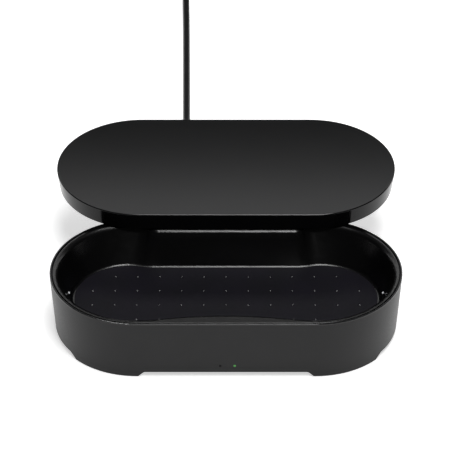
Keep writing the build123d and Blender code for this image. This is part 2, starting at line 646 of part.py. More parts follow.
with BuildPart() as ballast_plate:
    with Locations((0, BALLAST_Y, PLATE_TOP)):
        Box(*BALLAST_SIZE, align=ON_TOP)
    chamfer(ballast_plate.edges().group_by(Axis.Z)[-1], BALLAST_EDGE)
finish(ballast_plate, "ballast_plate")


# ---- lid catch: magnets and a sensor under the tray's front flange
with BuildPart() as base_magnets:
    with at([(-MAGNET_X, -MAGNET_Y), (MAGNET_X, -MAGNET_Y)], FLANGE_BOTTOM - MAGNET_SKIN):
        Cylinder(MAGNET_RADIUS, MAGNET_THICK, align=HUNG)
finish(base_magnets, "base_magnets")

with BuildPart() as lid_sensor:
    with Locations((0, -MAGNET_Y, FLANGE_BOTTOM - MAGNET_SKIN - MAGNET_THICK)):
        Box(*SENSOR_SIZE, align=HUNG)
finish(lid_sensor, "lid_sensor")


# ---- pivot: bushing in the base; pin, spring washer and clip turn with the lid
with BuildPart() as pivot_bushing:
    with Locations((0, PIVOT_Y, BUSHING_BOTTOM)):
        Cylinder(BUSHING_RADIUS, BUSHING_LENGTH,
                 align=ON_TOP)
    with Locations((0, PIVOT_Y, FLANGE_TOP)):
        Cylinder(BUSHING_FLANGE_R, BUSHING_FLANGE_T,
                 align=ON_TOP)
        Hole(PIN_RADIUS + PIN_FIT)
finish(pivot_bushing, "pivot_bushing")

with BuildPart() as thrust_washer:
    with BuildSketch(Plane.XY.offset(WASHER_BOTTOM)):
        with Locations((0, PIVOT_Y)):
            Circle(BUSHING_FLANGE_R)
            Circle(PIN_RADIUS + 2 * PIN_FIT, mode=Mode.SUBTRACT)
    extrude(amount=LID_BOTTOM - WASHER_BOTTOM)
finish(thrust_washer, "thrust_washer")

with BuildPart() as pivot_pin:
    with Locations((0, PIVOT_Y, PIN_BOTTOM)):
        Cylinder(PIN_RADIUS, LID_BOTTOM + PIN_IN_LID - PIN_BOTTOM,
                 align=ON_TOP)
        Hole(PIN_BORE)
    with BuildSketch(Plane.XY.offset(CLIP_TOP - CLIP_T)):
        with Locations((0, PIVOT_Y)):
            Circle(PIN_RADIUS)
            Circle(CLIP_GROOVE_R, mode=Mode.SUBTRACT)
    extrude(amount=CLIP_T, mode=Mode.SUBTRACT)
finish(pivot_pin, "pivot_pin")

with BuildPart() as wave_washer:
    with BuildSketch(Plane.XY.offset(CLIP_TOP)):
        with Locations((0, PIVOT_Y)):
            Circle(WAVE_WASHER_R)
            Circle(PIN_RADIUS + 2 * PIN_FIT, mode=Mode.SUBTRACT)
    extrude(amount=WAVE_WASHER_T)
finish(wave_washer, "wave_washer")

with BuildPart() as pin_clip:
    with BuildSketch(Plane.XY.offset(CLIP_TOP - CLIP_T)):
        with Locations((0, PIVOT_Y)):
            Circle(CLIP_RADIUS)
            Circle(CLIP_GROOVE_R, mode=Mode.SUBTRACT)
            Rectangle(2 * CLIP_GROOVE_R, CLIP_RADIUS, align=(Align.CENTER, Align.MAX),
                      mode=Mode.SUBTRACT)
    extrude(amount=CLIP_T)
finish(pin_clip, "pin_clip")


# ---- lid shell: flat satin top and drafted side wall, with a hub for the pin
with BuildPart() as lid_shell:
    add(stadium(LID_TOP, LID_INSET, LID_Y))
    extrude(amount=-LID_THICK, taper=LID_DRAFT_ANGLE)
    fillet(lid_shell.faces().sort_by(Axis.Z)[-1].edges(), LID_TOP_ROUND)
    fillet(lid_shell.faces().sort_by(Axis.Z)[0].edges(), LID_BOTTOM_ROUND)
    add(stadium(LID_BOTTOM, LID_RIM_INSET, LID_Y))
    extrude(amount=LID_CEILING - LID_BOTTOM, mode=Mode.SUBTRACT)
    with Locations((0, PIVOT_Y, LID_BOTTOM)):
        Cylinder(HUB_RADIUS, LID_CEILING - LID_BOTTOM,
                 align=ON_TOP)
    with at(LID_SCREWS, LID_FLOOR_TOP):
        Cylinder(LID_BOSS_RADIUS, LID_CEILING - LID_FLOOR_TOP,
                 align=ON_TOP)
        Cylinder(SCREW_RADIUS + SCREW_FIT, LID_SCREW_LENGTH,
                 align=ON_TOP, mode=Mode.SUBTRACT)
    with Locations((0, PIVOT_Y, LID_BOTTOM)):
        Cylinder(PIN_RADIUS, WIRE_Z + WIRE_PORT / 2 - LID_BOTTOM,
                 align=ON_TOP, mode=Mode.SUBTRACT)
    with Locations((0, PIVOT_Y, WIRE_Z)):
        Box(WIRE_PORT, 2 * HUB_RADIUS, WIRE_PORT,
            align=(Align.CENTER, Align.MIN, Align.CENTER), mode=Mode.SUBTRACT)
finish(lid_shell, "lid_shell")

with BuildPart() as lid_floor:
    add(stadium(LID_BOTTOM, LID_RIM_INSET + LID_FIT, LID_Y))
    extrude(amount=LID_FLOOR_THICK)
    with Locations((0, PIVOT_Y, LID_BOTTOM)):
        Cylinder(HUB_RADIUS + LID_FIT, LID_FLOOR_THICK,
                 align=ON_TOP, mode=Mode.SUBTRACT)
    with Locations((0, CHARGER_Y, LID_FLOOR_TOP)):
        with GridLocations(CHARGER_SIZE[0] - 2 * STANDOFF_RADIUS,
                           CHARGER_SIZE[1] - 2 * STANDOFF_RADIUS, 2, 2):
            Cylinder(STANDOFF_RADIUS, CHARGER_LIFT, align=ON_TOP)
    with at(LID_SCREWS, LID_BOTTOM):
        Cylinder(SCREW_RADIUS + SCREW_CLEAR, LID_FLOOR_THICK,
                 align=ON_TOP, mode=Mode.SUBTRACT)
        Cylinder(SCREW_HEAD_R + SCREW_CLEAR, SCREW_HEAD_SINK + LID_SCREW_HEAD_H,
                 align=ON_TOP, mode=Mode.SUBTRACT)
finish(lid_floor, "lid_floor")

with BuildPart() as lid_screws:
    with at(LID_SCREWS, LID_BOTTOM + SCREW_HEAD_SINK):
        Cylinder(SCREW_HEAD_R, LID_SCREW_HEAD_H, align=ON_TOP)
        Cylinder(SCREW_RADIUS, LID_SCREW_LENGTH, align=ON_TOP)
finish(lid_screws, "lid_screws")


# ---- wireless charger: coil and ferrite under the lid's top face, and its board
with BuildPart() as charging_coil:
    with BuildSketch(Plane.XY.offset(LID_CEILING - COIL_THICK)):
        with Locations((0, LID_Y)):
            Circle(COIL_OUTER)
            Circle(COIL_INNER, mode=Mode.SUBTRACT)
    extrude(amount=COIL_THICK)
finish(charging_coil, "charging_coil")

with BuildPart() as ferrite_sheet:
    with Locations((0, LID_Y, LID_CEILING - COIL_THICK)):
        Cylinder(FERRITE_RADIUS, FERRITE_THICK, align=HUNG)
finish(ferrite_sheet, "ferrite_sheet")

with BuildPart() as charger_board:
    with Locations((0, CHARGER_Y, CHARGER_BOTTOM)):
        Box(*CHARGER_SIZE, align=ON_TOP)
finish(charger_board, "charger_board")

with BuildPart() as charger_parts:
    for x, y, size in CHARGER_CHIPS:
        with Locations((x, CHARGER_Y + y, CHARGER_BOTTOM + CHARGER_SIZE[2])):
            Box(*size, align=ON_TOP)
finish(charger_parts, "charger_parts")

with BuildPart() as lid_magnets:
    with at([(x, LID_Y + MAGNET_Y) for x in (-MAGNET_X, 0, MAGNET_X)], LID_FLOOR_TOP):
        Cylinder(MAGNET_RADIUS, MAGNET_THICK, align=ON_TOP)
finish(lid_magnets, "lid_magnets")


# ---- wires: one bundle in the lid and down the hollow pin, one from there to the board
with BuildPart() as lid_wires:
    with BuildLine() as lid_wire_path:
        FilletPolyline((0, PIVOT_Y, PIN_BOTTOM), (0, PIVOT_Y, WIRE_Z),
                       (0, CHARGER_Y - CHARGER_SIZE[1] / 2, WIRE_Z),
                       radius=WIRE_BEND)
    with BuildSketch(Plane.XY.offset(PIN_BOTTOM)):
        with Locations((0, PIVOT_Y)):
            Circle(WIRE_RADIUS)
    sweep(path=lid_wire_path.line)
finish(lid_wires, "lid_wires")

with BuildPart() as base_wires:
    with BuildLine() as base_wire_path:
        FilletPolyline((0, PIVOT_Y, PIN_BOTTOM - WIRE_SLACK), (0, PIVOT_Y, BASE_WIRE_Z),
                       (0, BASE_WIRE_END, BASE_WIRE_Z), radius=BASE_WIRE_BEND)
    with BuildSketch(Plane.XY.offset(PIN_BOTTOM - WIRE_SLACK)):
        with Locations((0, PIVOT_Y)):
            Circle(WIRE_RADIUS)
    sweep(path=base_wire_path.line)
finish(base_wires, "base_wires")


# ---- cord: plug in the rear socket, tapered relief, run along the table, coil, USB plug
with BuildPart() as plug_barrel:
    with BuildSketch(Plane.XZ.offset(-PLUG_Y)):
        with Locations((SOCKET_X, SOCKET_Z)):
            Circle(BARREL_RADIUS)
            Circle(BARREL_BORE, mode=Mode.SUBTRACT)
    extrude(amount=BARREL_LENGTH)
finish(plug_barrel, "plug_barrel")

with BuildPart() as cord_plug:
    with BuildSketch(Plane.XZ.offset(-PLUG_Y)):
        with Locations((SOCKET_X, SOCKET_Z)):
            Circle(PLUG_RADIUS)
    extrude(amount=-PLUG_LENGTH)
    fillet(cord_plug.edges().group_by(Axis.Y)[-1], PLUG_ROUND)
    fillet(cord_plug.edges().group_by(Axis.Y)[0], LIP_ROUND)
finish(cord_plug, "cord_plug")

with BuildPart() as cord_relief:
    with Locations(Plane(origin=(SOCKET_X, PLUG_Y + PLUG_LENGTH, SOCKET_Z), z_dir=(0, 1, 0))):
        Cone(RELIEF_START_R, RELIEF_END_R, RELIEF_LENGTH, align=ON_TOP)
finish(cord_relief, "cord_relief")


def tube(points):
    """A cord's tube through points: straight runs joined by the largest arcs that the
    runs allow. Prints each arc's radius, and the volume over section times length."""
    corners = [Vector(*point) for point in points]
    radii = []
    for before, corner, after in zip(corners, corners[1:], corners[2:]):
        turn = radians((corner - before).get_angle(after - corner))
        shorter = min((corner - before).length, (after - corner).length)
        radii.append(ARC_SHARE * shorter / tan(turn / 2))
    with BuildPart() as cord:
        with BuildLine() as path:
            FilletPolyline(*points, radius=radii)
        with BuildSketch(Plane(origin=path.line @ 0, z_dir=path.line % 0)):
            Circle(CORD_RADIUS)
        sweep(path=path.line)
    length = sum(edge.length for edge in path.edges())
    share = cord.part.volume / (pi * CORD_RADIUS**2 * length)
    print("radii", [round(radius) for radius in radii],
          "length", round(length, 1), "volume share", round(share, 4))
    return cord


power_cord = tube(CORD_ROUTE)
finish(power_cord, "power_cord")

with BuildPart() as cord_coil:
    with BuildSketch(Plane.XZ):
        with Locations((COIL_MID_RADIUS, CORD_CLEAR)):
            RectangleRounded(COIL_WIDTH, COIL_THICKNESS, CORD_RADIUS,
                             align=(Align.CENTER, Align.MIN))
    revolve(axis=Axis.Z)
cord_coil.part.position = (COIL_X, COIL_Y, 0)
finish(cord_coil, "cord_coil")

cord_tail = tube(TAIL_ROUTE)
finish(cord_tail, "cord_tail")

with BuildPart() as usb_relief:
    with Locations(USB_PLANE):
        Cone(RELIEF_END_R, USB_RELIEF_R, USB_RELIEF, align=ON_TOP)
finish(usb_relief, "usb_relief")

with BuildPart() as usb_body:
    with Locations(USB_PLANE.offset(USB_RELIEF)):
        Box(USB_BODY[2], USB_BODY[0], USB_BODY[1], align=ON_TOP)
    fillet(usb_body.edges(), USB_ROUND)
finish(usb_body, "usb_body")

with BuildPart() as usb_shell:
    with Locations(USB_PLANE.offset(USB_RELIEF + USB_BODY[1])):
        Box(USB_SHELL[2], USB_SHELL[0], USB_SHELL[1], align=ON_TOP)
        Box(USB_SHELL[2] - 2 * USB_SHELL_WALL, USB_SHELL[0] - 2 * USB_SHELL_WALL, USB_SHELL[1],
            align=ON_TOP, mode=Mode.SUBTRACT)
finish(usb_shell, "usb_shell")

with BuildPart() as usb_tongue:
    with Locations(USB_PLANE.offset(USB_RELIEF + USB_BODY[1])):
        with Locations((USB_SHELL[2] / 2 - USB_SHELL_WALL, 0, 0)):
            Box(USB_TONGUE[2], USB_TONGUE[0], USB_TONGUE[1],
                align=(Align.MAX, Align.CENTER, Align.MIN))
finish(usb_tongue, "usb_tongue")
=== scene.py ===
"""Looks of the UV sanitizer box: finishes for its moulded parts, and the screws, cord,
strain relief and plugs with the detail that they have up close. Metres, in the frame of
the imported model; sizes in the sections below are in millimetres unless they say so."""

import math

import bmesh
import bpy
from mathutils import Matrix, Vector


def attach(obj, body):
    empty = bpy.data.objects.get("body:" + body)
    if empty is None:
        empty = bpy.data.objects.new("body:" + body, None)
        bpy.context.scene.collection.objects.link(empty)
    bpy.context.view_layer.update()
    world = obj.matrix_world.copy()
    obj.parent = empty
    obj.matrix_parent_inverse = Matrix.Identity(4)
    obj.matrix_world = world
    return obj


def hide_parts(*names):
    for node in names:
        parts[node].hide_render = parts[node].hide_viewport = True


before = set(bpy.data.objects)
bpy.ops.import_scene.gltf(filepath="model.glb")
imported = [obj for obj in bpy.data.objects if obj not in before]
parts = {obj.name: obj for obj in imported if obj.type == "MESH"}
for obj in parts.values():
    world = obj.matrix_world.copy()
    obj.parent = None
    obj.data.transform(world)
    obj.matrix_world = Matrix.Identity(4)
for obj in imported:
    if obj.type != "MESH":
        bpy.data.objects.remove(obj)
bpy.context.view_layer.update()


# ---- Outer shell
# One injection moulding in black ABS: a drafted stadium wall with a thin rim lip and four
# feet. The mould is spark-eroded, which leaves an even satin grain on every face.

def linear(hex_colour):
    """An sRGB hex colour as the linear RGBA that a shader takes."""
    channels = [int(hex_colour[place:place + 2], 16) / 255 for place in (1, 3, 5)]
    return [c / 12.92 if c <= 0.04045 else ((c + 0.055) / 1.055) ** 2.4 for c in channels] + [1.0]


def add_node(finish, kind, inputs=None, **settings):
    """Adds a shader node. An input is a value, or the socket that feeds it."""
    node = finish.node_tree.nodes.new(kind)
    for name, value in settings.items():
        setattr(node, name, value)
    for name, value in (inputs or {}).items():
        if isinstance(value, bpy.types.NodeSocket):
            finish.node_tree.links.new(value, node.inputs[name])
        else:
            node.inputs[name].default_value = value
    return node


def new_finish(name, colour, **constants):
    """A material whose constant values sit on the shader's own sockets, and its shader."""
    finish = bpy.data.materials.new(name)
    finish.use_nodes = True
    shader = finish.node_tree.nodes["Principled BSDF"]
    shader.inputs["Base Color"].default_value = linear(colour)
    for socket, value in constants.items():
        shader.inputs[socket.replace("_", " ")].default_value = value
    return finish, shader


def mottle(finish, shader, light, dark, patch_mm, stretch=(1, 1, 1)):
    """Lets the colour drift between two tones in soft patches, as pigment does in a moulding."""
    place = add_node(finish, "ShaderNodeTexCoord").outputs["Object"]
    place = add_node(finish, "ShaderNodeMapping", {"Vector": place, "Scale": stretch}).outputs["Vector"]
    cloud = add_node(finish, "ShaderNodeTexNoise", {"Vector": place, "Scale": 1000 / patch_mm,
                                                    "Detail": 3.0, "Roughness": 0.5})
    tones = add_node(finish, "ShaderNodeValToRGB", {"Fac": cloud.outputs["Fac"]})
    tones.color_ramp.elements[0].position = 0.35
    tones.color_ramp.elements[1].position = 0.65
    tones.color_ramp.elements[0].color = linear(dark)
    tones.color_ramp.elements[1].color = linear(light)
    finish.node_tree.links.new(tones.outputs["Color"], shader.inputs["Base Color"])


def grain(finish, shader, grain_mm, depth_mm, low, high, stretch=(1, 1, 1)):
    """Surface grain: small bumps, and a roughness that wavers with them between low and high."""
    place = add_node(finish, "ShaderNodeTexCoord").outputs["Object"]
    place = add_node(finish, "ShaderNodeMapping", {"Vector": place, "Scale": stretch}).outputs["Vector"]
    bumps = add_node(finish, "ShaderNodeTexNoise", {"Vector": place, "Scale": 1000 / grain_mm,
                                                    "Detail": 2.0, "Roughness": 0.6})
    relief = add_node(finish, "ShaderNodeBump", {"Height": bumps.outputs["Fac"], "Strength": 1.0,
                                                 "Distance": depth_mm / 1000})
    waver = add_node(finish, "ShaderNodeMapRange", {"Value": bumps.outputs["Fac"], "From Min": 0.3,
                                                    "From Max": 0.7, "To Min": low, "To Max": high})
    finish.node_tree.links.new(relief.outputs["Normal"], shader.inputs["Normal"])
    finish.node_tree.links.new(waver.outputs["Result"], shader.inputs["Roughness"])


def shift(finish, shader, socket, below_mm, above_mm, value):
    """Fades a shader's value to another one between two heights above the table."""
    place = add_node(finish, "ShaderNodeTexCoord").outputs["Object"]
    height = add_node(finish, "ShaderNodeSeparateXYZ", {"Vector": place}).outputs["Z"]
    share = add_node(finish, "ShaderNodeMapRange", {"Value": height, "From Min": below_mm / 1000,
                                                    "From Max": above_mm / 1000})
    target = shader.inputs[socket]
    before = target.links[0].from_socket if target.is_linked else target.default_value
    blend = add_node(finish, "ShaderNodeMix", {0: share.outputs["Result"], 2: before, 3: value})
    finish.node_tree.links.new(blend.outputs[0], target)


def wear(finish, *names):
    """Gives CAD nodes their finish."""
    for name in names:
        for slot in parts[name].material_slots:
            slot.material = finish


LIP_POLISH = (46.9, 47.4)    # heights between which the lip's polish sets in

# Grit of 0.05 mm is too fine to show, so it is drawn at 0.8 mm. It gives the wall its soft,
# even grey where the table is mirrored, and bright ends.
abs_satin, shader = new_finish("black ABS, spark-eroded satin", "#151516", IOR=1.45,
                               Specular_IOR_Level=0.29)
mottle(abs_satin, shader, "#161617", "#121213", patch_mm=30)
grain(abs_satin, shader, grain_mm=0.8, depth_mm=0.003, low=0.36, high=0.46)
# The lip lies on the mould's parting face, which is polished: it catches light in a thin line.
shift(abs_satin, shader, "Roughness", *LIP_POLISH, 0.2)
shift(abs_satin, shader, "Specular IOR Level", *LIP_POLISH, 0.55)
wear(abs_satin, "outer_shell")


# ---- Tray
# A bowl and its flange, moulded in one piece in a black polycarbonate blend. The mould is
# lapped, so the bowl has a soft gloss, with a slight orange peel.

# It mirrors the dark room as near black, and every rounding as a thin light line.
tray_gloss, shader = new_finish("polycarbonate blend, lapped gloss", "#040404", IOR=1.5,
                                Specular_IOR_Level=0.45)
mottle(tray_gloss, shader, "#040405", "#030303", patch_mm=40)
grain(tray_gloss, shader, grain_mm=5.0, depth_mm=0.0002, low=0.22, high=0.25)
wear(tray_gloss, "inner_tray")


# ---- Mat
# A soft liner of compression-moulded silicone on the tray's floor, with low nubs on which
# the phone lies. It is held by its own weight and a few dots of glue.

NUB_FOOT = (24.2, 24.3)      # heights between the mat's face and its nubs

# Matt with a faint bluish sheen; the mould leaves a fine frosting, drawn at 0.7 mm.
silicone, shader = new_finish("silicone rubber, frosted mould", "#101014", IOR=1.41,
                              Specular_IOR_Level=0.22)
mottle(silicone, shader, "#0e0c14", "#0b0a10", patch_mm=25)
grain(silicone, shader, grain_mm=0.7, depth_mm=0.004, low=0.5, high=0.6)
# The nubs come from drilled and polished pits of the mould, so each holds a point of light.
shift(silicone, shader, "Roughness", *NUB_FOOT, 0.16)
shift(silicone, shader, "Specular IOR Level", *NUB_FOOT, 0.9)
wear(silicone, "tray_mat")


# ---- Underside
# Base plate and lid floor are flat ABS mouldings, each pressed up against a ledge and held
# by screws. Five pads of die-cut rubber are glued to the base plate's blocks.

# The plates come out of a coarser, duller mould than the shell.
abs_matt, shader = new_finish("black ABS, coarse spark-eroded", "#151515", IOR=1.5,
                              Specular_IOR_Level=0.4)
mottle(abs_matt, shader, "#171717", "#131314", patch_mm=35)
grain(abs_matt, shader, grain_mm=1.1, depth_mm=0.01, low=0.5, high=0.6)
wear(abs_matt, "base_plate", "lid_floor")

# Ground rubber shows no gloss at all and picks up a little dust.
rubber, shader = new_finish("nitrile rubber, ground", "#1b1b1a", IOR=1.52,
                            Specular_IOR_Level=0.25)
mottle(rubber, shader, "#232321", "#181817", patch_mm=6)
grain(rubber, shader, grain_mm=0.6, depth_mm=0.02, low=0.8, high=0.9)
wear(rubber, "rubber_feet")


# ---- Screws
# Self-tapping screws, cold-headed and thread-rolled from wire and plated with black zinc:
# six hold the base plate, seven the lid's floor, four the main board.

BASE_SCREWS = [(x, y) for x in (-84, 84) for y in (-26, 26)] + [(-16, 4.75), (16, 4.75)]
LID_SCREWS = [(x, y) for x in (-98, 98) for y in (82, 134)] + [(-38, 62), (38, 62), (0, 152)]
HEAD_RADIUS = 2.4
SHANK_RADIUS = 1.25
THREAD_ROOT = 0.95
THREAD_PITCH = 1.0
CROSS_ARM = 1.35             # middle of the head to the end of an arm
CROSS_HALF_WIDTH = 0.42
ARM_TAPER = 0.35             # share of the width that an arm loses towards its end
ARM_END_SLOPE = 0.5
ARM_SIDE_SLOPE = 0.12
FACE_RINGS = 18              # fine enough to carry the cross
FACE_MARGIN = 0.35           # flat face to the head's rim
FACE_DISH = 0.12
SEGMENTS = 64
TURN_APART = 1.1             # radians from one screw's cross to the next one's


def ramp(value):
    """0 below 0, 1 above 1, and a smooth rise between."""
    value = min(1.0, max(0.0, value))
    return value * value * (3 - 2 * value)


def cross_depth(x, y):
    """Share of the recess's depth under the point: four tapered arms."""
    def arm(along, across):
        half = CROSS_HALF_WIDTH * (1 - ARM_TAPER * abs(along) / CROSS_ARM)
        end = ramp((CROSS_ARM - abs(along)) / ARM_END_SLOPE)
        return end * ramp((half - abs(across)) / ARM_SIDE_SLOPE)
    return max(arm(x, y), arm(y, x))


def skin(bm, rings, closed_start=True, closed_end=True):
    """Joins rings of points to a tube, and closes its ends."""
    loops = [[bm.verts.new(point) for point in ring] for ring in rings]
    count = len(loops[0])
    for first, second in zip(loops, loops[1:]):
        for k in range(count):
            bm.faces.new((first[k], first[(k + 1) % count], second[(k + 1) % count], second[k]))
    if closed_start:
        bm.faces.new(loops[0][::-1])
    if closed_end:
        bm.faces.new(loops[-1])


def circle(radius, z):
    """A ring of points about the Z axis."""
    angles = [2 * math.pi * k / SEGMENTS for k in range(SEGMENTS)]
    return [(radius * math.cos(angle), radius * math.sin(angle), z) for angle in angles]


def screw_rings(head_height, length, recess):
    """Rings of one screw, head down: recessed face, edge, shank with thread, tip."""
    face_radius = HEAD_RADIUS - FACE_MARGIN
    rings = []
    for step in range(1, FACE_RINGS + 1):
        ring = circle(face_radius * step / FACE_RINGS, FACE_DISH * (step / FACE_RINGS) ** 2)
        rings.append([(x, y, z + recess * cross_depth(x, y)) for x, y, z in ring])
    # rounded rim, then the head's flat underside
    rings += [circle(HEAD_RADIUS - 0.15, 0.22), circle(HEAD_RADIUS, 0.42),
              circle(HEAD_RADIUS, head_height), circle(SHANK_RADIUS, head_height)]
    # thread: a flat root, then a sharp crest
    z = head_height + 0.3
    while z + THREAD_PITCH < length - 1.2:
        rings += [circle(THREAD_ROOT, z), circle(THREAD_ROOT, z + 0.45 * THREAD_PITCH),
                  circle(SHANK_RADIUS, z + 0.72 * THREAD_PITCH)]
        z += THREAD_PITCH
    rings += [circle(THREAD_ROOT, length - 0.9), circle(0.35, length)]
    return rings


def build(name, bm, finish, body, slot, *replaced):
    """Turns a bmesh in millimetres into a piece that rides on a body and replaces CAD nodes."""
    bmesh.ops.recalc_face_normals(bm, faces=bm.faces)
    mesh = bpy.data.meshes.new(name)
    bm.to_mesh(mesh)
    bm.free()
    mesh.transform(Matrix.Scale(0.001, 4))
    mesh.materials.append(finish)
    piece = bpy.data.objects.new(name, mesh)
    bpy.context.scene.collection.objects.link(piece)
    mesh.shade_smooth()
    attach(piece, body)
    if replaced:
        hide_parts(*replaced)
    return piece


def crease(piece, degrees):
    """Keeps edges sharper than the angle crisp, as a tool leaves them."""
    bm = bmesh.new()
    bm.from_mesh(piece.data)
    for edge in bm.edges:
        edge.smooth = edge.calc_face_angle(0.0) < math.radians(degrees)
    bm.to_mesh(piece.data)
    bm.free()


def screws(name, places, z, head_height, length, recess, body, replaced):
    """A set of like screws, heads down, their faces at height z."""
    bm = bmesh.new()
    for number, (x, y) in enumerate(places):
        before = len(bm.verts)
        skin(bm, screw_rings(head_height, length, recess))
        bm.verts.ensure_lookup_table()
        # each is driven home to its own angle
        turn = Matrix.Rotation(number * TURN_APART, 3, "Z")
        for vert in bm.verts[before:]:
            vert.co = turn @ vert.co + Vector((x, y, z))
    crease(build(name, bm, black_zinc, body, "plated_steel", replaced), 35)


# Black chromate over zinc: a dark metal with a dull shine and a brown tinge.
black_zinc, shader = new_finish("steel, black zinc plated", "#4a4844", Metallic=1.0)
mottle(black_zinc, shader, "#57544f", "#3e3c39", patch_mm=2)
grain(black_zinc, shader, grain_mm=0.25, depth_mm=0.002, low=0.3, high=0.42)
screws("base_screws", BASE_SCREWS, z=4.8, head_height=1.2, length=8.0, recess=0.75,
       body="base", replaced="case_screws")
screws("lid_floor_screws", LID_SCREWS, z=48.6, head_height=1.0, length=6.0, recess=0.6,
       body="lid", replaced="lid_screws")
wear(black_zinc, "board_screws")


# ---- UV lamps
# At each end of the tray a small plano-convex lens of frosted fused quartz is glued in a bore
# of the wall. Behind it sit a ceramic UV-C emitter and its round aluminium-cored board.

UV_END = 108.0               # tray floor's end
UV_WALL_RUN = 9.5            # the end wall leans out this far over the tray's depth
UV_DEPTH = 24.35
UV_HEIGHT = 4.95             # lens above the tray's floor
UV_FLOOR = 23.35             # tray's floor above the table
LENS_RADIUS = 1.0
LENS_RISE = 0.55             # height of the lens's dome
LENS_LENGTH = 2.0

# Frosting scatters whatever light falls in, so the lens shows as a small white dot.
quartz, shader = new_finish("fused quartz, frosted", "#eef0f4", IOR=1.46)
mottle(quartz, shader, "#f4f5f8", "#e6e8ee", patch_mm=1)
grain(quartz, shader, grain_mm=0.2, depth_mm=0.002, low=0.2, high=0.35)
bm = bmesh.new()
for side in (-1, 1):
    before = len(bm.verts)
    rings = [[(x, y, -z) for x, y, z in circle(LENS_RADIUS * share, LENS_RISE * (1 - share * share))]
             for share in (0.1, 0.3, 0.5, 0.7, 0.85, 0.95, 1.0)]
    skin(bm, rings + [circle(LENS_RADIUS, LENS_LENGTH)])
    bm.verts.ensure_lookup_table()
    outward = Vector((side * UV_DEPTH, 0, -UV_WALL_RUN)).normalized()
    turn = outward.to_track_quat("Z", "Y").to_matrix()
    lens_x = side * (UV_END + UV_WALL_RUN * UV_HEIGHT / UV_DEPTH)
    for vert in bm.verts[before:]:
        vert.co = turn @ vert.co + Vector((lens_x, 0, UV_FLOOR + UV_HEIGHT))
crease(build("uv_lenses", bm, quartz, "base", "quartz_window", "uv_windows"), 50)

# Fired alumina, off-white and dull.
ceramic, shader = new_finish("alumina ceramic, fired", "#e4e0d6", IOR=1.76)
mottle(ceramic, shader, "#e8e5dc", "#dcd7cb", patch_mm=1.5)
grain(ceramic, shader, grain_mm=0.3, depth_mm=0.004, low=0.45, high=0.6)
wear(ceramic, "uv_leds")


# ---- Status lights
# Two moulded light pipes reach from the little board behind the front wall to its face: a
# smoked one that is unlit, and a green one.

# Smoked acrylic swallows light, so it reads as a black dot.
smoked, shader = new_finish("acrylic, smoked", "#020202", IOR=1.49, Specular_IOR_Level=0.1)
mottle(smoked, shader, "#030303", "#010101", patch_mm=1)
grain(smoked, shader, grain_mm=0.4, depth_mm=0.001, low=0.5, high=0.6)
wear(smoked, "wait_light_pipe")

# Tinted acrylic with the lamp's own light behind it glows a quiet green.
green, shader = new_finish("acrylic, green, lit", "#1f5a1d", IOR=1.49)
shader.inputs["Emission Color"].default_value = linear("#3f9a38")
shader.inputs["Emission Strength"].default_value = 0.5
mottle(green, shader, "#236522", "#1b501a", patch_mm=1)
grain(green, shader, grain_mm=0.4, depth_mm=0.001, low=0.25, high=0.35)
wear(green, "ready_light_pipe")


# ---- Boards and their parts
# Glass-epoxy boards under green solder mask: the main board by the rear wall, the status
# board, the UV lamps' boards and the charger's. Chips, coil and socket are black mouldings.

# Solder mask over copper tracks: glossy green with lighter tracks, 1.2 mm apart here.
board, shader = new_finish("glass epoxy, green solder mask", "#0f3a22", IOR=1.55)
place = add_node(board, "ShaderNodeTexCoord").outputs["Object"]
tracks = add_node(board, "ShaderNodeTexBrick", {
    "Vector": place, "Scale": 1000 / 9, "Color1": linear("#123f26"), "Color2": linear("#0e3620"),
    "Mortar": linear("#1d5a38"), "Mortar Size": 0.035, "Brick Width": 0.9, "Row Height": 0.13})
board.node_tree.links.new(tracks.outputs["Color"], shader.inputs["Base Color"])
lift = add_node(board, "ShaderNodeBump", {"Height": tracks.outputs["Fac"], "Distance": 0.00004})
board.node_tree.links.new(lift.outputs["Normal"], shader.inputs["Normal"])
shader.inputs["Roughness"].default_value = 0.28
wear(board, "main_board", "status_board", "uv_boards", "charger_board")

# Filled epoxy and glass-filled nylon are dark, dull and very finely speckled.
epoxy, shader = new_finish("filled epoxy, moulded", "#18181a", IOR=1.55)
mottle(epoxy, shader, "#1c1c1e", "#151517", patch_mm=1.5)
grain(epoxy, shader, grain_mm=0.3, depth_mm=0.006, low=0.5, high=0.65)
wear(epoxy, "board_parts", "charger_parts", "power_socket", "lid_sensor")


# ---- Ballast and magnets
# A sheared and zinc-plated steel bar weighs the base down, so that the lid can swing out
# behind it. Disc magnets of sintered neodymium, nickel plated, hold the lid shut.

# Rolled steel keeps fine lines along the bar, and the zinc gives it a bluish shine.
zinc, shader = new_finish("rolled steel, zinc plated", "#b4b7bb", Metallic=1.0)
mottle(zinc, shader, "#bcc0c5", "#a6a9ad", patch_mm=6)
grain(zinc, shader, grain_mm=0.8, depth_mm=0.006, low=0.28, high=0.42, stretch=(0.05, 1, 1))
wear(zinc, "ballast_plate")

# Barrel-plated nickel is warmer and brighter, with soft scuffs.
nickel, shader = new_finish("nickel, barrel plated", "#c9c4b8", Metallic=1.0)
mottle(nickel, shader, "#d0cbc0", "#bdb8ac", patch_mm=3)
grain(nickel, shader, grain_mm=0.5, depth_mm=0.001, low=0.14, high=0.24)
wear(nickel, "base_magnets", "lid_magnets", "plug_barrel")


# ---- Pivot
# A hollow steel pin turns with the lid in a sintered bronze bushing pressed into the tray. A
# washer of acetal lies under the lid; a wave washer and a clip hold the pin from below.

# Ground pin and spring steel: bright, with rings from the grinding.
ground_steel, shader = new_finish("stainless steel, ground", "#c3c3c2", Metallic=1.0)
mottle(ground_steel, shader, "#cacac9", "#b4b4b3", patch_mm=3)
grain(ground_steel, shader, grain_mm=0.5, depth_mm=0.002, low=0.2, high=0.3, stretch=(0.1, 0.1, 1))
wear(ground_steel, "pivot_pin", "wave_washer", "pin_clip")

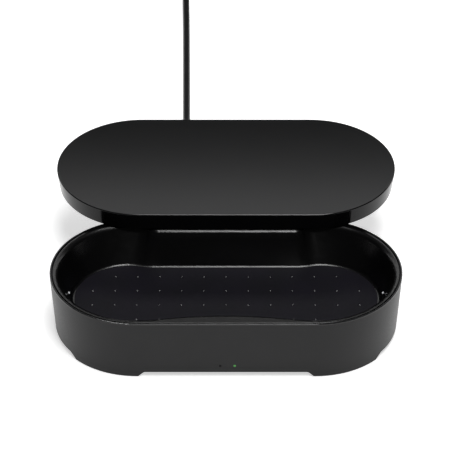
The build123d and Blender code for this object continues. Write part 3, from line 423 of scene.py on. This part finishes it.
# Sintered bronze holds oil in its pores, which makes it brown and finely pitted.
bronze, shader = new_finish("bronze, sintered, oiled", "#8a6238", Metallic=1.0)
mottle(bronze, shader, "#97703f", "#765230", patch_mm=1)
grain(bronze, shader, grain_mm=0.25, depth_mm=0.02, low=0.38, high=0.5)
wear(bronze, "pivot_bushing")

# Black acetal is dense and a little waxy, so it takes a soft sheen.
acetal, shader = new_finish("acetal, turned", "#0f0f10", IOR=1.48)
mottle(acetal, shader, "#131314", "#0b0b0c", patch_mm=2)
grain(acetal, shader, grain_mm=0.3, depth_mm=0.002, low=0.35, high=0.45)
wear(acetal, "thrust_washer")


# ---- Lid
# One moulding in black ABS with a flat top on which a phone lies to charge. Its mould is
# stoned finer than the base's, so the top has a silkier shine than the walls below.

LID_ROUNDING = (60.7, 61.0)  # heights between the walls and the rounding above them
LID_FACE = (61.5, 61.58)     # heights between that rounding and the top face

# Low grain, drawn at 0.7 mm: it turns the lamp behind into one long, smooth gradient.
lid_satin, shader = new_finish("black ABS, stoned satin", "#0c0c0d", IOR=1.5,
                               Specular_IOR_Level=0.14)
mottle(lid_satin, shader, "#0d0d0e", "#0b0b0c", patch_mm=40)
grain(lid_satin, shader, grain_mm=0.7, depth_mm=0.0006, low=0.14, high=0.17)
# The walls shine less than the rounding above them, and only the top face is stoned.
shift(lid_satin, shader, "Specular IOR Level", *LID_ROUNDING, 0.4)
shift(lid_satin, shader, "Roughness", *LID_FACE, 0.29)
wear(lid_satin, "lid_shell")


# ---- Charger
# A flat coil of stranded copper wire, wound on a former and bonded under the lid's top face,
# with a ferrite sheet below it to steer its field.

WIRE_PITCH = 1.1             # one turn to the next
LID_MIDDLE = (0, -0.108, 0)  # metres, back to the origin

# Enamelled copper: one turn beside the other, 1.1 mm apart, in rings about the lid's middle.
# A ring texture at scale 1 repeats every 2 pi / 20 metres.
copper, shader = new_finish("copper wire, enamelled", "#b06a3c", Metallic=1.0)
place = add_node(copper, "ShaderNodeTexCoord").outputs["Object"]
place = add_node(copper, "ShaderNodeMapping", {"Vector": place, "Location": LID_MIDDLE}).outputs["Vector"]
turns = add_node(copper, "ShaderNodeTexWave",
                 {"Vector": place, "Scale": 2 * math.pi * 1000 / (20 * WIRE_PITCH)},
                 wave_type="RINGS", rings_direction="Z")
# Painted shade and highlight: the colour darkens in the grooves between turns, where shade falls, and
# lightens on each turn's crest.
tones = add_node(copper, "ShaderNodeValToRGB", {"Fac": turns.outputs["Fac"]})
tones.color_ramp.elements[0].color = linear("#5c3018")
tones.color_ramp.elements[1].color = linear("#c27a48")
copper.node_tree.links.new(tones.outputs["Color"], shader.inputs["Base Color"])
round_wire = add_node(copper, "ShaderNodeBump", {"Height": turns.outputs["Fac"], "Distance": 0.0005})
copper.node_tree.links.new(round_wire.outputs["Normal"], shader.inputs["Normal"])
shader.inputs["Roughness"].default_value = 0.3
wear(copper, "charging_coil")

# Sintered ferrite is a charcoal ceramic with a sandy face.
ferrite, shader = new_finish("ferrite, sintered", "#2b2a2b", IOR=1.8)
mottle(ferrite, shader, "#323132", "#242324", patch_mm=2)
grain(ferrite, shader, grain_mm=0.3, depth_mm=0.01, low=0.55, high=0.7)
wear(ferrite, "ferrite_sheet")

# Silicone hook-up wire, soft and matt.
hookup, shader = new_finish("silicone wire, extruded", "#141416", IOR=1.43)
mottle(hookup, shader, "#18181a", "#111113", patch_mm=4)
grain(hookup, shader, grain_mm=0.4, depth_mm=0.003, low=0.5, high=0.6)
wear(hookup, "base_wires", "lid_wires")


# ---- Cord
# A round two-core lead, 5.5 mm thick, with an extruded PVC jacket. It leaves the rear wall,
# sinks to the table, runs straight back and ends in a neat coil of six turns.

CORD_RADIUS = 2.75
LOW = 2.85                   # height of the jacket's middle on the table
HIGH = 8.35                  # the same on top of another turn
RUN = [(-30, 80, 16.7), (-30, 97.9, 16.7), (-30, 116, 16.7), (-29.9, 140, 8.8), (-29.9, 168, LOW),
       (-30.2, 216, LOW), (-30.7, 274, LOW), (-31.4, 334, LOW), (-32.1, 390, LOW),
       (-32.9, 430, LOW), (-33.7, 462, LOW)]
TAIL = [(9, 514.6, 3.6), (18, 513, 4), (26, 510.4, 4), (34, 510, 4), (38, 510, 4)]
COIL_MIDDLE = (-0.5, 476)
TURNS = 6
TURN_RADII = (33.25, 27.75, 22.25, 22.25, 27.75, 33.25, 38.75)
TURN_HEIGHTS = (LOW, LOW, LOW, HIGH, HIGH, HIGH, HIGH)
POINTS_PER_TURN = 16


def coil_points():
    """Six turns, three beside each other and two high, and a quarter turn down to the table.
    Each turn steps over to its neighbour's place towards its end."""
    points = []
    for step in range(TURNS * POINTS_PER_TURN + POINTS_PER_TURN // 4):
        turn, share = divmod(step / POINTS_PER_TURN, 1)
        turn = int(turn)
        over = ramp(2.5 * share - 1.5)
        after = min(turn + 1, TURNS)
        radius = TURN_RADII[turn] + (TURN_RADII[after] - TURN_RADII[turn]) * over
        height = TURN_HEIGHTS[turn] + (TURN_HEIGHTS[after] - TURN_HEIGHTS[turn]) * over
        if turn == TURNS:
            height -= (HIGH - LOW) * min(1, 4 * share)
        angle = 2 * math.pi * share
        points.append((COIL_MIDDLE[0] - radius * math.cos(angle),
                       COIL_MIDDLE[1] + radius * math.sin(angle), height))
    return points


cord_line = bpy.data.curves.new("cord", "CURVE")
cord_line.dimensions = "3D"
cord_line.bevel_depth = CORD_RADIUS / 1000
cord_line.bevel_resolution = 6
cord_line.resolution_u = 8
cord_line.use_fill_caps = True
spline = cord_line.splines.new("NURBS")
route = RUN + coil_points() + TAIL
spline.points.add(len(route) - 1)
for point, (x, y, z) in zip(spline.points, route):
    point.co = (x / 1000, y / 1000, z / 1000, 1)
spline.order_u = 3
spline.use_endpoint_u = True
cord = bpy.data.objects.new("cord", cord_line)
bpy.context.scene.collection.objects.link(cord)

# Extruded PVC: satin, a shade lighter than the mouldings, with faint draw marks.
pvc, shader = new_finish("PVC, extruded satin", "#1b1b1c", IOR=1.5)
mottle(pvc, shader, "#1e1e1f", "#19191a", patch_mm=12)
grain(pvc, shader, grain_mm=0.8, depth_mm=0.004, low=0.34, high=0.42)
cord_line.materials.append(pvc)
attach(cord, "base")
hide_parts("power_cord", "cord_coil", "cord_tail")


# ---- Plug and strain relief
# A barrel plug with a moulded grip goes into the socket behind the rear wall. Its overmould
# runs on as a tapered relief, slotted in turn from above, below and both sides.

PLUG_X = -30.0
PLUG_Z = 16.7
PLUG_START = 59.9            # just clear of the rear wall
PLUG_END = 76.9
RELIEF_END = 97.9
PLUG_RADIUS = 4.6
FRONT_ROUND = 0.5
REAR_ROUND = 1.5
GRIP_FROM = 62.5             # finger hollows
GRIP_TO = 74.0
GRIP_EASE = 0.8
HOLLOW_DEPTH = 0.25
RIDGES = 6
RIDGE_HEIGHT = 0.35
RELIEF_RADII = (4.0, 3.15)
FIRST_SLOT = 1.8             # after the grip
SLOTS = 7
SLOT_PITCH = 2.4
SLOT_WIDTH = 1.1
SLOT_DEPTH = 0.8
SLOT_SLOPE = 0.24


def along_y(radius_at, stations):
    """Rings about the plug's axis: radius_at gives the radius at a place and an angle."""
    angles = [2 * math.pi * k / SEGMENTS for k in range(SEGMENTS)]
    return [[(PLUG_X + radius_at(y, angle) * math.cos(angle), y,
              PLUG_Z + radius_at(y, angle) * math.sin(angle)) for angle in angles] for y in stations]


def grip_radius(y, angle):
    """Round, with rounded ends and ridged hollows at the left and right for finger and thumb."""
    front = PLUG_START + FRONT_ROUND - y
    rear = y - (PLUG_END - REAR_ROUND)
    radius = PLUG_RADIUS
    if front > 0:
        radius -= FRONT_ROUND - math.sqrt(max(0.0, FRONT_ROUND ** 2 - front * front))
    if rear > 0:
        radius -= REAR_ROUND - math.sqrt(max(0.0, REAR_ROUND ** 2 - rear * rear))
    hollow = ramp((y - GRIP_FROM) / GRIP_EASE) * ramp((GRIP_TO - y) / GRIP_EASE)
    # only where the surface faces left or right
    hollow *= ramp((abs(math.cos(angle)) - 0.72) / 0.12)
    wave = 0.5 - 0.5 * math.cos(2 * math.pi * RIDGES * (y - GRIP_FROM) / (GRIP_TO - GRIP_FROM))
    return radius - hollow * (HOLLOW_DEPTH + RIDGE_HEIGHT * (1 - wave))


def relief_radius(y, angle):
    """A taper with slots: every other one opens up and down, the rest to the sides."""
    share = (y - PLUG_END) / (RELIEF_END - PLUG_END)
    radius = RELIEF_RADII[0] + (RELIEF_RADII[1] - RELIEF_RADII[0]) * share
    slot, place = divmod(y - PLUG_END - FIRST_SLOT, SLOT_PITCH)
    if not 0 <= slot < SLOTS:
        return radius
    away = abs(place - SLOT_PITCH / 2)
    open_along = ramp((SLOT_WIDTH / 2 + SLOT_SLOPE / 2 - away) / SLOT_SLOPE)
    # two webs of 40 degrees join the rings on either side of a slot
    side = abs(math.cos(angle) if slot % 2 else math.sin(angle))
    return radius - SLOT_DEPTH * open_along * ramp((side - 0.35) / 0.1)


bm = bmesh.new()
steps = 120
skin(bm, along_y(grip_radius, [PLUG_START + (PLUG_END - PLUG_START) * k / steps for k in range(steps + 1)]))
# Overmoulded PVC, as satin as the jacket.
plug_grip = build("plug_grip", bm, pvc, "base", "cord_black", "cord_plug")
crease(plug_grip, 50)
bm = bmesh.new()
steps = 168
skin(bm, along_y(relief_radius, [PLUG_END + (RELIEF_END - PLUG_END) * k / steps for k in range(steps + 1)]))
plug_relief = build("plug_relief", bm, pvc, "base", "cord_black", "cord_relief")
crease(plug_relief, 50)


# ---- USB plug
# An overmoulded PVC grip with a grooved boot, a shell folded from nickel-plated steel sheet
# with two latch windows on each face, and a tongue of white nylon with four contacts.

USB_Y = 510.0
USB_Z = 4.0
BOOT_START = 34.0
BOOT_RADIUS = 3.0
BOOT_SPREAD = 0.55           # how much wider the boot is at the grip
GROOVE_FROM = 35.2
GROOVE_TO = 45.2
GROOVE_PITCH = 2.0
GROOVE_DEPTH = 0.7
GRIP_START = 46.0
GRIP_END = 68.0
GRIP_HALF = (7.78, 3.88)     # half width and half height
GRIP_CORNER = 1.6
FINGER_FROM = 5.0            # finger grooves, from the grip's start
FINGER_RUN = 10.0
FINGER_GROOVES = 5
FINGER_DEPTH = 0.3
SHELL_END = 82.0
CORNER_STEPS = 8             # sides of each rounded corner


def along_x(stations):
    """Rounded-rectangle rings about the USB plug's axis: x, half width, half height, corner."""
    rings = []
    for x, wide, high, corner in stations:
        side, top = wide - corner, high - corner
        corners = ((side, top, 0), (-side, top, 90), (-side, -top, 180), (side, -top, 270))
        ring = []
        for middle_y, middle_z, first in corners:
            for step in range(CORNER_STEPS + 1):
                angle = math.radians(first + 90 * step / CORNER_STEPS)
                ring.append((x, USB_Y + middle_y + corner * math.cos(angle),
                             USB_Z + middle_z + corner * math.sin(angle)))
        rings.append(ring)
    return rings


# shoulder that widens from the boot to the grip
stations = [(GRIP_START, 3.6, 3.2, 1.5), (GRIP_START + 0.4, 4.2, 3.5, GRIP_CORNER),
            (GRIP_START + 2.6, 6.9, 3.75, GRIP_CORNER), (GRIP_START + 4.0, 7.5, GRIP_HALF[1], GRIP_CORNER)]
# shallow finger grooves round the middle of the grip
steps = 40
for k in range(steps + 1):
    x = GRIP_START + FINGER_FROM + FINGER_RUN * k / steps
    dip = FINGER_DEPTH * (0.5 - 0.5 * math.cos(2 * math.pi * FINGER_GROOVES * k / steps))
    stations.append((x, GRIP_HALF[0] - dip, GRIP_HALF[1] - 0.6 * dip, GRIP_CORNER))
# rounded end round the shell
stations += [(GRIP_END - 1.0, *GRIP_HALF, GRIP_CORNER), (GRIP_END - 0.3, 7.6, 3.75, 1.5),
             (GRIP_END, 7.2, 3.4, 1.2)]
bm = bmesh.new()
skin(bm, along_x(stations))
usb_grip = build("usb_grip", bm, pvc, "base", "cord_black", "usb_body")
crease(usb_grip, 40)

bm = bmesh.new()
stations = []
steps = 84
for k in range(steps + 1):
    x = BOOT_START + (GRIP_START - BOOT_START) * k / steps
    groove = 0.0
    if GROOVE_FROM < x < GROOVE_TO:
        away = abs((x - GROOVE_FROM) % GROOVE_PITCH - GROOVE_PITCH / 2)
        groove = GROOVE_DEPTH * ramp((0.36 - away) / 0.2)
    radius = BOOT_RADIUS + BOOT_SPREAD * (x - BOOT_START) / (GRIP_START - BOOT_START) - groove
    # round: the corners take up all but a trace of the ring
    stations.append((x, radius, radius, radius - 0.001))
skin(bm, along_x(stations))
usb_boot = build("usb_boot", bm, pvc, "base", "cord_black", "usb_relief")
crease(usb_boot, 50)

# The shell's sheet is drawn as one skin with its windows left out, then given its thickness.
SHELL_WALL = 0.4
SHELL_HALF = (6.0, 2.25)     # half width and half height
SHELL_CORNER = 0.7
MOUTH_CRIMP = 0.12           # the mouth is pressed in this far
WINDOW_FROM = 73.2
WINDOW_TO = 75.4
WINDOW_Y = (3.8, 1.4, -1.4, -3.8)
sheet = bmesh.new()
stations = []
for x in (GRIP_END, 70.5, WINDOW_FROM, WINDOW_TO, 78.5, SHELL_END - 0.4, SHELL_END):
    crimp = MOUTH_CRIMP if x == SHELL_END else 0
    stations.append((x, SHELL_HALF[0] - crimp, SHELL_HALF[1] - crimp, SHELL_CORNER))
# the windows' edges come between the corners, above and below
corner = CORNER_STEPS + 1
loops = []
for ring in along_x(stations):
    x = ring[0][0]
    top, bottom = ring[corner - 1][2], ring[3 * corner - 1][2]
    across = [(x, USB_Y + y, top) for y in WINDOW_Y]
    under = [(x, USB_Y + y, bottom) for y in WINDOW_Y[::-1]]
    points = ring[:corner] + across + ring[corner:3 * corner] + under + ring[3 * corner:]
    loops.append([sheet.verts.new(point) for point in points])
count = len(loops[0])
# each window lies between the first two or the last two of those edges
windows = {corner, corner + 2, 3 * corner + 4, 3 * corner + 6}
for first, second in zip(loops, loops[1:]):
    opened = abs(first[0].co.x - WINDOW_FROM) < 0.01
    for k in range(count):
        if opened and k in windows:
            continue
        sheet.faces.new((first[k], first[(k + 1) % count], second[(k + 1) % count], second[k]))
# Nickel over drawn steel: bright, with fine lines along the plug.
shell_nickel, shader = new_finish("steel sheet, nickel plated", "#bdbcb8", Metallic=1.0)
mottle(shell_nickel, shader, "#c6c5c1", "#b0afab", patch_mm=3)
grain(shell_nickel, shader, grain_mm=0.4, depth_mm=0.002, low=0.18, high=0.28, stretch=(0.1, 1, 1))
usb_sleeve = build("usb_sleeve", sheet, shell_nickel, "base", "contact_nickel", "usb_shell")
thickness = usb_sleeve.modifiers.new("sheet", "SOLIDIFY")
thickness.thickness = SHELL_WALL / 1000
thickness.offset = -1
crease(usb_sleeve, 40)

TONGUE_MIDDLE = (73.0, USB_Y, 5.0)
TONGUE_SIZE = (10.0, 10.6, 1.7)

# White glass-filled nylon, chamfered at the front.
nylon, shader = new_finish("nylon, white, moulded", "#e8e6df", IOR=1.53)
mottle(nylon, shader, "#eceae4", "#dedcd4", patch_mm=2)
grain(nylon, shader, grain_mm=0.3, depth_mm=0.003, low=0.4, high=0.5)
bm = bmesh.new()
bmesh.ops.create_cube(bm, size=1.0, matrix=Matrix.Translation(TONGUE_MIDDLE)
                      @ Matrix.Diagonal((*TONGUE_SIZE, 1)))
front = [edge for edge in bm.edges if all(vert.co.x > TONGUE_MIDDLE[0] for vert in edge.verts)]
bmesh.ops.bevel(bm, geom=front, offset=0.5, segments=3, profile=0.5, affect="EDGES")
usb_blade = build("usb_blade", bm, nylon, "base", "tongue_white", "usb_tongue")
crease(usb_blade, 30)

# Four flat contacts lie along the tongue's underside.
CONTACT_START = 68.4
CONTACT_Z = 4.1
CONTACT_WIDTH = 1.0
CONTACT_THICK = 0.16
bm = bmesh.new()
# the outer pair of contacts reaches further forward
for y, reach in ((-3.5, 8.4), (-1.0, 7.4), (1.0, 7.4), (3.5, 8.4)):
    middle = Matrix.Translation((CONTACT_START + reach / 2, USB_Y + y, CONTACT_Z))
    bmesh.ops.create_cube(bm, size=1.0,
                          matrix=middle @ Matrix.Diagonal((reach, CONTACT_WIDTH, CONTACT_THICK, 1)))
bmesh.ops.bevel(bm, geom=list(bm.edges), offset=0.04, segments=2, profile=0.5, affect="EDGES")
# Gold flash over the contacts.
gold, shader = new_finish("contacts, gold flashed", "#d8b25a", Metallic=1.0)
mottle(gold, shader, "#dfba66", "#caa24c", patch_mm=1)
grain(gold, shader, grain_mm=0.2, depth_mm=0.001, low=0.18, high=0.28)
usb_contacts = build("usb_contacts", bm, gold, "base", "contact_nickel")


# ---- Studio
# A white paper sweep on a round table, soft lamps above, in front and behind, and the camera.

CAMERA_PITCH = 35.90         # degrees below level
SWEEP_RADIUS = 6.0           # metres, as all in this section
SWEEP_TURNS = 64
PAPER_GLOW = 0.6             # what camera and reflections see of the paper over its own light
ROOM_LIGHT = 0.035

camera_data = bpy.data.cameras.new("camera")
camera_data.lens = 238.6
camera_data.sensor_width = 36
camera = bpy.data.objects.new("camera", camera_data)
camera.location = (0, -1.6727, 1.2970)
camera.rotation_euler = (math.radians(90 - CAMERA_PITCH), 0, 0)
bpy.context.scene.collection.objects.link(camera)
bpy.context.scene.camera = camera

floor_mesh = bpy.data.meshes.new("floor")
# level in the middle, with a low rim that curls up
rings = [(SWEEP_RADIUS * share, 0.0) for share in (0.1, 0.5, 0.9)]
rings += [(SWEEP_RADIUS, 0.1), (SWEEP_RADIUS + 0.3, 0.25), (SWEEP_RADIUS + 0.4, 0.4)]
angles = [2 * math.pi * k / SWEEP_TURNS for k in range(SWEEP_TURNS)]
verts = [(0, 0, 0)] + [(r * math.cos(angle), r * math.sin(angle), z) for r, z in rings for angle in angles]
following = [(k + 1) % SWEEP_TURNS for k in range(SWEEP_TURNS)]
faces = [(0, 1 + k, 1 + after) for k, after in enumerate(following)]
for ring in range(len(rings) - 1):
    a, b = 1 + ring * SWEEP_TURNS, 1 + (ring + 1) * SWEEP_TURNS
    faces += [(a + k, b + k, b + after, a + after) for k, after in enumerate(following)]
floor_mesh.from_pydata(verts, [], faces)
floor = bpy.data.objects.new("floor", floor_mesh)
bpy.context.scene.collection.objects.link(floor)
# Matt white paper, which looks white to camera and in reflections and keeps soft shadows.
paper = bpy.data.materials.new("white paper sweep")
paper.use_nodes = True
nodes = paper.node_tree.nodes
nodes.remove(nodes["Principled BSDF"])
matt = add_node(paper, "ShaderNodeBsdfDiffuse", {"Color": linear("#f0f0f0")})
seen = add_node(paper, "ShaderNodeLightPath")
either = add_node(paper, "ShaderNodeMath", {0: seen.outputs["Is Camera Ray"],
                                            1: seen.outputs["Is Glossy Ray"]}, operation="ADD")
either = add_node(paper, "ShaderNodeMath", {0: either.outputs["Value"],
                                            1: seen.outputs["Is Transmission Ray"]}, operation="ADD")
glow = add_node(paper, "ShaderNodeEmission", {"Color": (1, 1, 1, 1)})
strength = add_node(paper, "ShaderNodeMath", {0: either.outputs["Value"], 1: PAPER_GLOW},
                    operation="MULTIPLY")
paper.node_tree.links.new(strength.outputs["Value"], glow.inputs["Strength"])
both = add_node(paper, "ShaderNodeAddShader", {0: matt.outputs["BSDF"], 1: glow.outputs["Emission"]})
paper.node_tree.links.new(both.outputs["Shader"], nodes["Material Output"].inputs["Surface"])
floor_mesh.materials.append(paper)

world = bpy.data.worlds.new("studio")
world.use_nodes = True
world.node_tree.nodes["Background"].inputs["Color"].default_value = (1, 1, 1, 1)
world.node_tree.nodes["Background"].inputs["Strength"].default_value = ROOM_LIGHT
bpy.context.scene.world = world


def lamp(name, place, aim, size, watts):
    """A soft rectangular lamp at place, facing aim."""
    data = bpy.data.lights.new(name, "AREA")
    data.shape = "RECTANGLE"
    data.size, data.size_y = size
    data.energy = watts
    light = bpy.data.objects.new(name, data)
    light.location = place
    light.rotation_euler = (Vector(aim) - Vector(place)).to_track_quat("-Z", "Y").to_euler()
    light.visible_camera = False
    bpy.context.scene.collection.objects.link(light)


lamp("overhead softbox", (0.1, 0.0, 1.7), (0, 0.0, 0), (0.7, 0.6), 15)
lamp("front softbox", (0.25, -0.8, 1.6), (0, 0.0, 0.03), (0.6, 0.35), 13)
lamp("rear strip", (0, 0.33, 0.28), (0, 0.02, 0.05), (1.0, 0.05), 0.36)
bpy.context.scene.view_settings.view_transform = "Standard"
